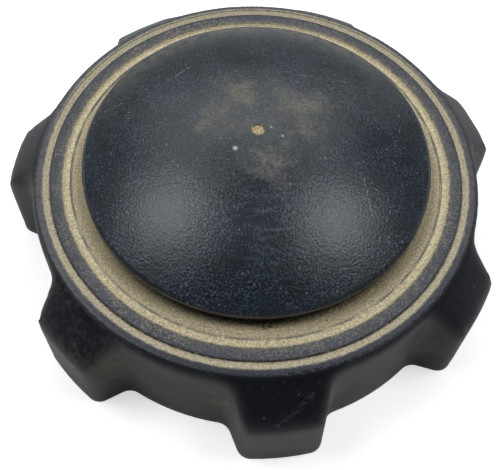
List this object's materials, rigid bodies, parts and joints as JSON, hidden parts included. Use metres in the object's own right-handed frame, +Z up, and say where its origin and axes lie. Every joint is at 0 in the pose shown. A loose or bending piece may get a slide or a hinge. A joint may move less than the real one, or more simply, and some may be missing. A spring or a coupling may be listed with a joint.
{
  "type": "fuel filler cap",
  "caption": "Screw-on fuel filler cap: lobed grip skirt, domed vent cover over a ringed ledge, threaded closure with click ratchet, neck gasket and breather valves.",
  "frame": {"origin": "on the turning axis, in the plane of the bottom edge, which is the mouth of the threaded closure", "axes": "+Z up along the turning axis towards the dome; -Y through the middle of one grip lobe; +X to the right"},
  "size_m": [0.0922, 0.0902, 0.0323],
  "materials": {
    "grip_plastic": "spark-textured, dusty and worn",
    "dome_plastic": "spark-textured, soft sheen, scratched",
    "closure_plastic": "satin moulded",
    "ring_plastic": "natural acetal",
    "valve_plastic": "satin moulded",
    "seal_rubber": "matt nitrile",
    "spring_steel": "drawn wire",
    "filter_foam": "open-cell foam"
  },
  "bodies": {
    "grip": {"grip_shell": "grip_plastic", "dome_cover": "dome_plastic", "filter_ring": "filter_foam", "retaining_ring": "ring_plastic"},
    "closure": {"threaded_closure": "closure_plastic", "neck_gasket": "seal_rubber", "valve_housing": "valve_plastic", "spring_cap": "valve_plastic", "splash_baffle": "valve_plastic", "wave_spring": "spring_steel", "pressure_spring": "spring_steel"},
    "ratchet": {"ratchet_ring": "ring_plastic"},
    "pressure_valve": {"pressure_plate": "valve_plastic", "pressure_seal": "seal_rubber", "vacuum_spring": "spring_steel"},
    "vacuum_valve": {"vacuum_poppet": "valve_plastic", "vacuum_spring_clip": "spring_steel"}
  },
  "joints": [
    {"name": "closure_turn", "type": "hinge", "parent": "grip", "child": "closure", "pos_m": [0, 0, 0], "axis": [0, 0, 1], "range_deg": [0, 360]},
    {"name": "ratchet_slip", "type": "slide", "parent": "closure", "child": "ratchet", "axis": [0, 0, -1], "range_m": [0, 0.0014], "stiffness_N_per_m": 4000, "springref_m": -0.001, "deforming": ["wave_spring"]},
    {"name": "pressure_valve_lift", "type": "slide", "parent": "closure", "child": "pressure_valve", "axis": [0, 0, 1], "range_m": [0, 0.002], "stiffness_N_per_m": 300, "springref_m": -0.004, "deforming": ["pressure_spring"]},
    {"name": "vacuum_valve_drop", "type": "slide", "parent": "pressure_valve", "child": "vacuum_valve", "axis": [0, 0, -1], "range_m": [0, 0.0015], "stiffness_N_per_m": 60, "springref_m": -0.003, "deforming": ["vacuum_spring"]}
  ]
}
